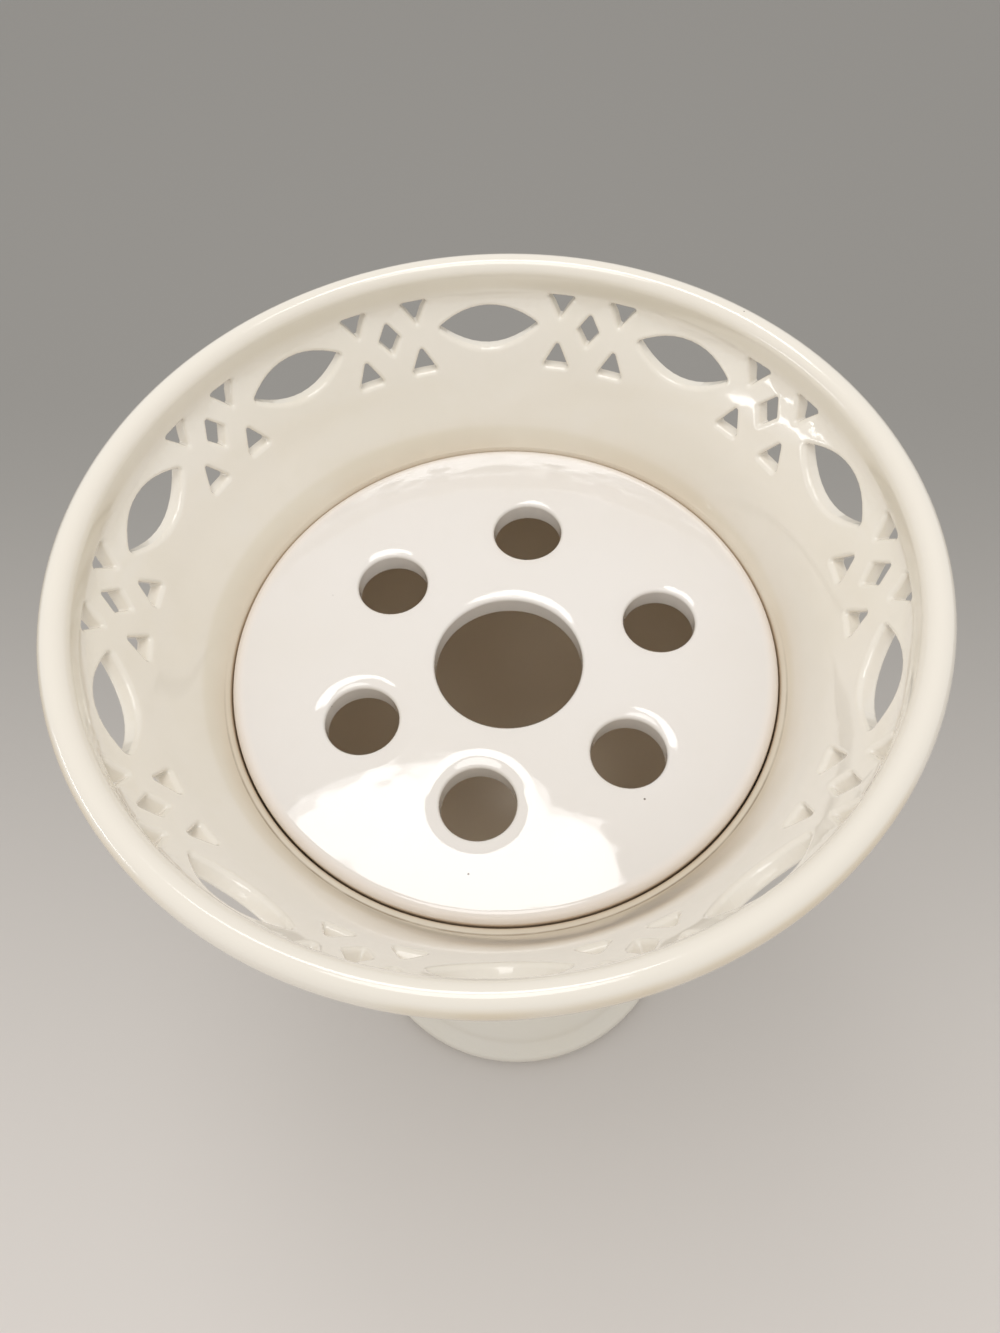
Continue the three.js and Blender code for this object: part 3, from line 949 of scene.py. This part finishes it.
class SCENE_OT_vase_stage(bpy.types.Operator):
    """Makes the floor, the lamps, the world and the camera"""

    bl_idname = "scene.vase_stage"
    bl_label = "Stage"

    def execute(self, context):
        stage = context.scene.vase_stage
        self.floor(stage)
        self.light(context.scene, stage)
        self.camera(context.scene)
        return {"FINISHED"}

    def floor(self, stage):
        """A wide floor of paper whose colour darkens behind the vase: painted shade of the light falling
        off.
        """
        bm = bmesh.new()
        bmesh.ops.create_grid(bm, x_segments=1, y_segments=1, size=FLOOR_HALF)
        mesh = bpy.data.meshes.new("floor")
        bm.to_mesh(mesh)
        bm.free()
        floor = bpy.data.objects.new("floor", mesh)
        bpy.context.scene.collection.objects.link(floor)
        paper = Finish(bpy.data.materials.new("Floor paper"))
        x, y = paper.place("XY")[1]
        # Painted shade: the floor darkens towards the back as the light falls off.
        behind = paper.between(y + x * FLOOR_SKEW, *FLOOR_FADE)
        shade = paper.mixed(behind, stage.floor, stage.floor_far_shade)
        mesh.materials.append(paper.surface({"Base Color": shade, "Roughness": 0.8}))

    def light(self, scene, stage):
        """Soft light all round, lamps overhead and a window on the left, before a plain backdrop."""
        sky = Finish(bpy.data.worlds.new("Studio"))
        direction = sky.node("ShaderNodeTexCoord", output="Generated")
        y, z = (sky.part(direction, axis) for axis in "YZ")
        low_in_front = sky.between(0 - y, 0.1, 0.9) * (1 - sky.between(z, 0.15, 0.55))
        level = (1 - low_in_front * stage.sky_shade) * (1 - y * stage.sky_tilt) * stage.sky_strength
        seen = sky.node("ShaderNodeLightPath", output="Is Camera Ray")
        for way in ("Is Glossy Ray", "Is Transmission Ray"):
            seen = seen.maths("MAXIMUM", seen, sky.node("ShaderNodeLightPath", output=way))
        level = seen * stage.backdrop + (1 - seen) * level
        light = sky.node("ShaderNodeBackground", None, {"Color": stage.sky, "Strength": level})
        sky.node("ShaderNodeOutputWorld", None, {"Surface": light})
        scene.world = sky.owner
        for name, place, turned, size, part in OVERHEAD:
            above = (*place, OVERHEAD_HEIGHT)
            area_lamp(name, above, (0, 0, math.radians(turned)), size, stage.lamp_power * part)
        area_lamp("window", WINDOW_PLACE, (0, math.radians(WINDOW_TURN), 0), WINDOW_SIZE, stage.window_power)

    def camera(self, scene):
        """The photograph's own camera."""
        data = bpy.data.cameras.new("camera")
        data.sensor_width = 36
        data.lens = FOCAL_PIXELS * data.sensor_width / PHOTO_HEIGHT
        camera = bpy.data.objects.new("camera", data)
        scene.collection.objects.link(camera)
        right = Vector(CAMERA_RIGHT)
        up = Vector(CAMERA_UP)
        turned = Matrix((right, up, right.cross(up))).transposed().to_4x4()
        camera.matrix_world = Matrix.Translation(CAMERA_PLACE) @ turned
        scene.camera = camera
        scene.view_settings.view_transform = "Standard"


class VIEW3D_PT_pierced_vase(bpy.types.Panel):
    """Lists the vase's pieces and sizes"""

    bl_label = "Pierced vase"
    bl_space_type = "VIEW_3D"
    bl_region_type = "UI"
    bl_category = "Vase"

    def draw(self, context):
        layout = self.layout
        for operator in OPERATORS:
            layout.operator(operator.bl_idname)
        for name in GROUPS:
            group = getattr(context.scene, name)
            box = layout.box()
            box.label(text=name.replace("_", " "))
            for key in group.__annotations__:
                box.prop(group, key)


GROUPS = {
    "vase_bowl": VaseBowlSizes,
    "vase_pattern": VasePatternSizes,
    "vase_foot": VaseFootSizes,
    "vase_holder": VaseHolderSizes,
    "vase_glaze": VaseGlaze,
    "vase_stage": VaseStage,
}
OPERATORS = (OBJECT_OT_vase_bowl, OBJECT_OT_vase_foot, OBJECT_OT_vase_holder, SCENE_OT_vase_stage)


def register():
    for group in GROUPS.values():
        bpy.utils.register_class(group)
    for operator in OPERATORS:
        bpy.utils.register_class(operator)
    bpy.utils.register_class(VIEW3D_PT_pierced_vase)
    for name, group in GROUPS.items():
        setattr(bpy.types.Scene, name, PointerProperty(type=group))


def unregister():
    for name in GROUPS:
        delattr(bpy.types.Scene, name)
    bpy.utils.unregister_class(VIEW3D_PT_pierced_vase)
    for operator in reversed(OPERATORS):
        bpy.utils.unregister_class(operator)
    for group in GROUPS.values():
        bpy.utils.unregister_class(group)


def main():
    register()
    bpy.ops.scene.vase_stage()
    bpy.ops.object.vase_bowl()
    bpy.ops.object.vase_foot()
    bpy.ops.object.vase_holder()


if __name__ == "__main__":
    main()
